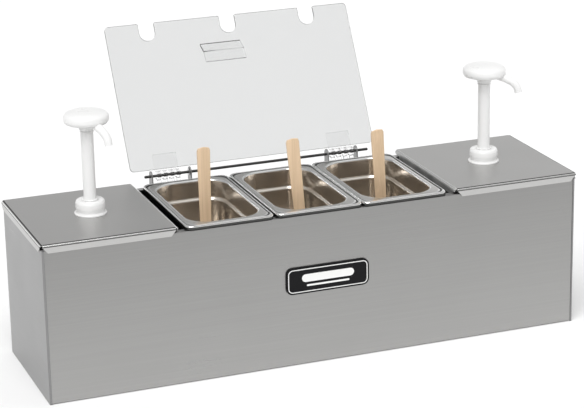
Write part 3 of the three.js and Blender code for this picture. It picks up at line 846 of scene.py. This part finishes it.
def build_cover(side, sign):
    """The flat lid over an end well, with a pump hole and four flanges bent down."""
    node = f"{side}_cover"
    low, high = span(node)
    mid = (low + high) / 2
    half_x, half_y = (high.x - low.x) / 2, (high.y - low.y) / 2
    depth = high.z - low.z
    flat_x, flat_y = half_x - COVER_BEND, half_y - COVER_BEND
    bm = bmesh.new()
    rim = cover_top(bm, flat_x, flat_y, middle(f"{side}_pump_stem").x - mid.x)
    for outward, along, flat, full in ((Y, X, flat_y, flat_x), (X, Y, flat_x, flat_y)):
        for way in (-1, 1):
            edge = [v for v in rim if abs(v.co.dot(outward) * way - flat) < 100 * TINY]
            rows = bend_rows(full)
            if outward == X and way == -sign:
                painted_rows = INNER_BEND_PAINTED_ROWS
                rows.append((COVER_BEND, INNER_STEP[0], -full + 2, full - 2))
                rows.append((COVER_BEND, INNER_STEP[1], *INNER_FLANGE))
                rows.append((COVER_BEND, depth, *INNER_FLANGE))
            else:
                painted_rows = OUTER_BEND_PAINTED_ROWS
                cut = full + COVER_BEND - FLANGE_CUT
                rows.append((COVER_BEND, depth, -cut, cut))
            flange_rows(bm, edge, outward * way, along, rows, painted_rows)
    moved(bm, mid.x, mid.y, high.z)
    # The bends carry painted dark reflection lines and painted highlights, and the inner flange
    # carries painted light.
    steel_and_painted_light = (cover_steel, painted_dark_line, painted_highlight, painted_flange_light)
    body = f"{side}_lid_plate"
    piece = add_piece(
        f"{node}_sheet", bm, steel_and_painted_light, body, replaces=[node], slot="cover_steel", flat=False
    )
    thicken(piece, SHEET, bevel=0.15)


def thicken(piece, thickness, bevel=0.0, finish_step=0):
    """Gives a surface its sheet thickness on the inside, and keeps its flats flat.

    finish_step moves the new side's faces on in the piece's list of materials."""
    solid = piece.modifiers.new("thickness", "SOLIDIFY")
    solid.thickness = thickness * MM
    solid.offset = -1
    solid.material_offset = finish_step
    if bevel:
        edge = piece.modifiers.new("edges", "BEVEL")
        edge.width = bevel * MM
        edge.segments = 1
        edge.limit_method = "ANGLE"
        edge.angle_limit = SHEET_EDGE_ANGLE
    piece.modifiers.new("flats", "WEIGHTED_NORMAL").keep_sharp = True


# ------------------------------ pans
PAN_RIM = 10  # from the wall to the rim's outside
PAN_STEP = 3  # from the wall below the shoulder to the wall above it
PAN_FILLET = 11
PAN_CORNER = {"deep": 30, "small": 28}
PAN_SHEET = 0.8
RIM_BEND = 2.4
SHOULDER_FOOT = 26.6
SHOULDER = [(0.25, 25.2), (0.9, 24.4), (1.9, 24.0), (2.5, 23.6), (2.9, 22.7), (3.0, 21.4)]
# Outward from the wall, below the rim's top, corner radius.
RIM_EDGE = [(5.4, 0.45, 15.5), (6.4, 0.95, 13.5), (6.9, 1.05, 12.5), (7.3, 0.9, 11.8)]
RIM_EDGE += [(7.7, 0.45, 11.0), (8.2, 0.1, 10.2), (8.8, 0.05, 9.6), (9.4, 0.4, 9.1)]
RIM_EDGE += [(9.8, 1.0, 8.6), (10.0, 1.9, 8.2), (10.0, 4.5, 8.0)]
PAN_PLAIN, RIM_GREY, RIM_PAINTED_DARK, RIM_PAINTED_HIGHLIGHT, PAN_OUTSIDE = range(5)  # places in its list of materials; the dark and bright ones are painted shade lines and painted highlights
RIM_GREY_AND_PAINTED_LINES = {19: RIM_GREY, 20: RIM_PAINTED_HIGHLIGHT, 28: RIM_PAINTED_HIGHLIGHT, 29: RIM_PAINTED_DARK}  # by row of pan_profile: the dark rows are painted shade and dark reflection lines, the bright rows painted highlights
RIM_GREY_AND_PAINTED_LINES.update(dict.fromkeys(range(15, 19), RIM_PAINTED_HIGHLIGHT))
RIM_GREY_AND_PAINTED_LINES.update(dict.fromkeys(range(21, 24), RIM_PAINTED_DARK))
RIM_GREY_AND_PAINTED_LINES.update(dict.fromkeys(range(24, 28), RIM_PAINTED_HIGHLIGHT))


def pan_profile(rim_x, rim_y, depth, corner):
    """(half width, half length, corner radius, depth below the rim's top) from floor to lip."""
    wall_x, wall_y = rim_x - PAN_RIM, rim_y - PAN_RIM
    low_x, low_y = wall_x - PAN_STEP, wall_y - PAN_STEP
    low_corner = corner - PAN_STEP - 1
    rows = []
    for k in range(7):
        a = math.pi / 2 * k / 6
        grow = PAN_FILLET * math.sin(a) - PAN_FILLET - PAN_SHEET
        drop = depth - 1 - PAN_FILLET + PAN_FILLET * math.cos(a)
        rows.append((low_x + grow, low_y + grow, low_corner + grow, drop))
    rows.append((low_x, low_y, low_corner, SHOULDER_FOOT))
    rows += [(low_x + g, low_y + g, low_corner + g, d) for g, d in SHOULDER]
    for k in range(6):
        a = math.pi / 2 * k / 5
        grow = RIM_BEND * (1 - math.cos(a))
        rows.append((wall_x + grow, wall_y + grow, corner - 1 + grow, RIM_BEND * (1 - math.sin(a))))
    rows += [(wall_x + g, wall_y + g, r, d) for g, d, r in RIM_EDGE]
    return rows


def build_pan(node, body, corner):
    """A pressed food pan with a stacking shoulder and a rolled rim."""
    low, high = span(node)
    mid = (low + high) / 2
    bm = bmesh.new()
    rows = pan_profile((high.x - low.x) / 2, (high.y - low.y) / 2, high.z - low.z, corner)
    rings = []
    for half_x, half_y, radius, drop in rows:
        outline = rounded_rectangle(half_x, half_y, radius, 8)
        rings.append([bm.verts.new((mid.x + p.x, mid.y + p.y, high.z - drop)) for p in outline])
    join_rings(bm, rings, closed=False)
    bm.verts.index_update()
    inset_floor(bm, rings[0], mid, 0.5)
    bm.verts.index_update()
    count = len(rings[0])
    # The rim's rows get a grey band, painted dark shade lines and painted highlights.
    for face in bm.faces:
        row = min(v.index for v in face.verts) // count
        face.material_index = RIM_GREY_AND_PAINTED_LINES.get(row, PAN_PLAIN)
    steel_and_painted_light = (pan_steel, rim_steel, painted_dark_line, painted_highlight, pan_outside)
    piece = add_piece(
        f"{node}_shell", bm, steel_and_painted_light, body, replaces=[node], slot="pan_steel", flat=False
    )
    facing_up(piece)
    thicken(piece, PAN_SHEET, finish_step=PAN_OUTSIDE)


def inset_floor(bm, ring, mid, share):
    """Fills a pan's floor with a ring of faces and a middle face."""
    inner = []
    for v in ring:
        place = v.co.lerp(Vector((mid.x, mid.y, v.co.z)), share)
        inner.append(bm.verts.new(place))
    join_rings(bm, [inner, ring], closed=False)
    bm.faces.new(inner)


def facing_up(piece):
    """Makes the floor face up, so that the thickness goes to the outside."""
    mesh = piece.data
    lowest = min(mesh.polygons, key=lambda p: p.center.z)
    if lowest.normal.z < 0:
        mesh.flip_normals()


# ------------------------------ sticks
STICKS = {1: (168, 0, -0.2), 2: (172.3, 0.2, -5.1), 3: (173.8, 6.9, -5.8)}  # length, lean, tilt
STICK = {"below": 1.5, "top": 8.1, "foot": 5.9, "thickness": 2.4}
FOOT_CORNER, CROWN_CORNER, CROWN_DROP, CROWN_RISE = 2.2, 3.8, 4, 0.2


def build_stick(index):
    """A flat blade, wider at its round top than at its foot, standing on its lean joint."""
    length, lean, tilt = STICKS[index]
    joint = next(j for j in frame["joints"] if j["name"] == f"stick_{index}_lean")
    foot = Vector(joint["pos_m"]) / MM
    top, low, below = STICK["top"], STICK["foot"], STICK["below"]
    base = eased([(-low, below), (-low, -below), (low, -below), (low, below)], FOOT_CORNER)
    crown = [(top, length - CROWN_DROP), (top, length), (0, length + CROWN_RISE)]
    crown += [(-top, length), (-top, length - CROWN_DROP)]
    half = STICK["thickness"] / 2
    blade = plate(base + eased(crown, CROWN_CORNER, steps=6), -half, half, (X, Z, Y))
    turn = Matrix.Rotation(math.radians(lean), 4, "X") @ Matrix.Rotation(math.radians(tilt), 4, "Y")
    name = f"stick_{index}"
    place = Matrix.Translation(foot) @ turn
    add_piece(
        f"{name}_wood", blade, wood, name, replaces=[name], slot="stick_wood", turn=place, bevel=0.7
    )


# ------------------------------ pumps
def turned_piece(side, node, profile, material, body, slot, *, sides=64, ease=0.3):
    """A turned pump piece on the pump's axis; heights are from the CAD part's lowest point."""
    low, _ = span(f"{side}_{node}")
    axis = middle(f"{side}_pump_stem")
    closed = profile[0][0] > 0
    line = eased(profile, ease, closed=closed, steps=3) if ease else profile
    bm = turned([tuple(p) for p in line], sides)
    moved(bm, axis.x, axis.y, low.z)
    add_piece(f"{side}_{node}_part", bm, material, body, replaces=[f"{side}_{node}"], slot=slot)


# Profiles: (radius, height) in millimetres.
CAP = [(14.8, 0), (18.4, 0), (18.4, 1.0), (17.6, 1.7), (17.2, 3.2), (16.9, 8.4), (16.7, 8.7)]
CAP += [(16.7, 9.0), (16.85, 9.3), (16.6, 13.2), (15.6, 15.4), (13.6, 16.1), (9.4, 16.2)]
CAP += [(8.9, 16.7), (7.05, 16.7), (7.05, 11.7), (14.8, 11.7)]
BARREL = [(3, 0), (5, 0), (5, 13), (13.6, 15), (13.6, 123.8), (14.5, 123.8), (14.5, 135.2)]
BARREL += [(12, 135.2), (12, 18), (3, 18)]
PISTON = [(1.8, 0), (11.5, 0), (11.5, 2), (9, 2), (9, 6), (11.5, 6), (11.5, 8), (7.05, 8)]
PISTON += [(7.05, 4.5), (1.8, 4.5)]
SEAL = [(9.3, 0), (11.7, 0), (11.7, 3.4), (9.3, 3.4)]
STEM_COLLAR = [(7.05, 0), (7.5, 0), (7.5, 2.2), (8.1, 3), (8.1, 8), (7.05, 8)]
DIP_TUBE = (5.3, 6.7)  # radius of its bore and of its outside, as in the next line
STEM = (3.2, 6.75)
BALLS = {"foot_ball": 4.5, "outlet_ball": 2.6}
HUB = [(7.05, 0), (9, 0), (9, 3), (7.05, 3)]
DOME_UNDERSIDE = [(0, 1), (10, 1), (12, 2.6), (19.5, 2.5), (22.6, 1.5)]
DOME = [(24.6, 2.3), (25.5, 3.6), (25.5, 4.1), (26.0, 4.6), (26.0, 5.1), (26.4, 5.8), (26.4, 8.6)]
DOME += [(26.0, 10.6), (25.0, 12.3), (22.9, 13.9), (18.5, 15.5), (10, 16.9), (0, 17.5)]
SPOUT = [(0, 5.6), (10, 5), (19, 2), (28, -1.2), (35.5, -5), (40.5, -10.5), (42.3, -17)]
SPOUT_ROOT, SPOUT_RADIUS, SPOUT_BORE = 5.4, 4.5, 2.7
HEADINGS = {"left": -70, "right": -36}
HEAD_LAP = 5  # the head reaches this far down over the stem
SPRING = {"wire": 0.7, "radius": 9.6, "turns": 8, "steps": 28, "slack": 0.5, "end_rise": 0.02}


def build_pump(side):
    """Every piece of one pump, each on the body that carries its CAD part."""
    pump, plunger, head = f"{side}_pump", f"{side}_plunger", f"{side}_head"
    white = "white_plastic"
    turned_piece(side, "pump_cap", CAP, white_plastic, pump, white)
    turned_piece(side, "pump_barrel", BARREL, natural_plastic, pump, white)
    dip = pipe(f"{side}_dip_tube", *DIP_TUBE)
    turned_piece(side, "dip_tube", dip, natural_plastic, pump, white, sides=40)
    turned_piece(side, "piston", PISTON, white_plastic, plunger, white)
    turned_piece(side, "piston_seal", SEAL, seal_rubber, plunger, "seal_rubber", ease=0.8)
    turned_piece(side, "pump_stem", pipe(f"{side}_pump_stem", *STEM), white_plastic, plunger, white)
    turned_piece(side, "stem_collar", STEM_COLLAR, white_plastic, head, white)
    for (node, radius), body in zip(BALLS.items(), (pump, plunger)):
        angles = [math.pi * i / 16 for i in range(17)]
        ball = [(radius * math.sin(a), radius - radius * math.cos(a)) for a in angles]
        turned_piece(side, node, ball, bright_steel, body, "ball_steel", sides=32, ease=0)
    build_head(side, head)
    build_spring(side, pump)


def pipe(node, bore, radius):
    """The profile of a straight pipe as tall as a CAD part."""
    low, high = span(node)
    height = high.z - low.z
    return [(bore, 0), (radius, 0), (radius, height), (bore, height)]


def build_head(side, body):
    """The dome, the hub under it and the bent spout, as one moulding."""
    axis = middle(f"{side}_pump_stem")
    underside = span(f"{side}_pump_stem")[1].z - HEAD_LAP
    line = [Vector(p) for p in DOME_UNDERSIDE] + smooth_line(DOME, 4)
    dome = turned([(max(p.x, 0), p.y) for p in line], 72)
    hub = turned([tuple(p) for p in eased(HUB, 0.4, closed=True)], 48)
    course = [Vector((r, 0, z)) for r, z in smooth_line(SPOUT, 6)]
    narrowing = (SPOUT_ROOT - SPOUT_RADIUS) / (len(course) - 1)
    taper = [SPOUT_ROOT - narrowing * i for i in range(len(course))]
    spout = tube(course, taper, 28, hollow=SPOUT_BORE)
    whole = merge(dome, hub, spout)
    whole.transform(Matrix.Rotation(math.radians(HEADINGS[side]), 4, "Z"))
    moved(whole, axis.x, axis.y, underside)
    name, node = f"{side}_head_moulding", f"{side}_pump_head"
    add_piece(name, whole, white_plastic, body, replaces=[node], slot="white_plastic")


def build_spring(side, body):
    """A coil with closed ends."""
    name = f"{side}_pump_spring"
    low, high = span(name)
    axis = middle(f"{side}_pump_stem")
    wire, radius, turns = SPRING["wire"], SPRING["radius"], SPRING["turns"]
    bottom, top = low.z + wire, high.z - wire - SPRING["slack"]
    line = []
    steps = turns * SPRING["steps"]
    for i in range(steps + 1):
        a = 2 * math.pi * turns * i / steps
        height = bottom + (top - bottom) * coil_rise(i / steps, turns)
        line.append(Vector((radius * math.cos(a), radius * math.sin(a), height)))
    bm = moved(tube(line, wire, 10), axis.x, axis.y, 0)
    joint, wire_name = f"{side}_pump_stroke", f"{side}_spring_wire"
    piece = add_piece(wire_name, bm, bright_steel, body, replaces=[name], slot="spring_steel")
    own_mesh(piece)


def coil_rise(t, turns):
    """Height share along a coil whose end turns lie close together."""
    closed = 1 / turns
    gap = SPRING["end_rise"]
    if t < closed:
        return gap * t / closed
    if t > 1 - closed:
        return 1 - gap * (1 - t) / closed
    return gap + (1 - 2 * gap) * (t - closed) / (1 - 2 * closed)


# ------------------------------ stage
FLOOR_HALF = 12  # metres
ROOM_HORIZON = 0.95
ROOM_ABOVE = ((0.45, 0.42), (0.72, 0.45))  # height of the look, grey; straight up is white
ROOM_DEPTH = {"From Min": -1, "To Min": 0.55}
ROOM_SIDE = {"From Min": 0.1, "From Max": 0.6, "To Min": 0.95, "To Max": 1.45}
SUN_FROM = Vector((-0.35, -0.6, 1.0))
SUN_SPREAD = math.radians(50)
SUN_POWER = 2.6
CAMERA_AT = (-0.8746, -2.3299, 0.9820)
CAMERA_RIGHT = Vector((0.93407, -0.35662, -0.01822))
CAMERA_UP = Vector((0.12673, 0.28338, 0.95060))
CAMERA_LENS = 133.69


def build_stage():
    bm = bmesh.new()
    bmesh.ops.create_grid(bm, x_segments=8, y_segments=8, size=FLOOR_HALF)
    mesh = bpy.data.meshes.new("floor")
    bm.to_mesh(mesh)
    bm.free()
    floor = bpy.data.objects.new("floor", mesh)
    bpy.context.scene.collection.objects.link(floor)
    mesh.materials.append(new_material("pale_floor", Base_Color=(0.9, 0.9, 0.9, 1), Roughness=0.9))


def world_range(tree, value, limits):
    node = tree.nodes.new("ShaderNodeMapRange")
    for socket, limit in limits.items():
        node.inputs[socket].default_value = limit
    tree.links.new(value, node.inputs["Value"])
    return node.outputs["Result"]


def build_world():
    """A pale room, dimmer halfway up, and brighter at the back and on the right."""
    world = bpy.data.worlds.new("studio")
    world.use_nodes = True
    tree = world.node_tree
    nodes, links = tree.nodes, tree.links
    place = nodes.new("ShaderNodeTexCoord")
    split = nodes.new("ShaderNodeSeparateXYZ")
    links.new(place.outputs["Generated"], split.inputs["Vector"])
    height = nodes.new("ShaderNodeValToRGB")
    links.new(split.outputs["Z"], height.inputs["Fac"])
    ramp = height.color_ramp.elements
    ramp[0].color = (ROOM_HORIZON, ROOM_HORIZON, ROOM_HORIZON, 1)
    for at, grey in ROOM_ABOVE:
        ramp.new(at).color = (grey, grey, grey, 1)
    both = nodes.new("ShaderNodeMath")
    both.operation = "MULTIPLY"
    links.new(world_range(tree, split.outputs["Y"], ROOM_DEPTH), both.inputs[0])
    links.new(world_range(tree, split.outputs["X"], ROOM_SIDE), both.inputs[1])
    glow = nodes["Background"]
    links.new(height.outputs["Color"], glow.inputs["Color"])
    links.new(both.outputs["Value"], glow.inputs["Strength"])
    bpy.context.scene.world = world


def build_light():
    build_world()
    light = bpy.data.lights.new("softbox", "SUN")
    light.angle = SUN_SPREAD
    light.energy = SUN_POWER
    lamp = bpy.data.objects.new("softbox", light)
    lamp.rotation_euler = SUN_FROM.to_track_quat("Z", "Y").to_euler()
    bpy.context.scene.collection.objects.link(lamp)
    bpy.context.scene.view_settings.view_transform = "Standard"


def build_camera():
    data = bpy.data.cameras.new("camera")
    data.sensor_width = 36
    data.lens = CAMERA_LENS
    camera = bpy.data.objects.new("camera", data)
    axes = (CAMERA_RIGHT, CAMERA_UP, CAMERA_RIGHT.cross(CAMERA_UP))
    camera.matrix_world = Matrix.Translation(CAMERA_AT) @ Matrix(axes).transposed().to_4x4()
    bpy.context.scene.collection.objects.link(camera)
    bpy.context.scene.camera = camera


# ------------------------------ all of it
build_camera()
build_light()
build_stage()
build_housing()
build_badge()
build_rod()
for number in range(1, 5):
    build_bracket(number, middle("hinge_rod"))
    build_rivet(number)
build_lid()
for name, way in zip(SIDES, (-1, 1)):
    build_cover(name, way)
    build_pan(f"{name}_deep_pan", f"{name}_well", PAN_CORNER["deep"])
    build_pump(name)
for number in (1, 2, 3):
    build_pan(f"pan_{number}", f"pan_{number}", PAN_CORNER["small"])
    build_stick(number)
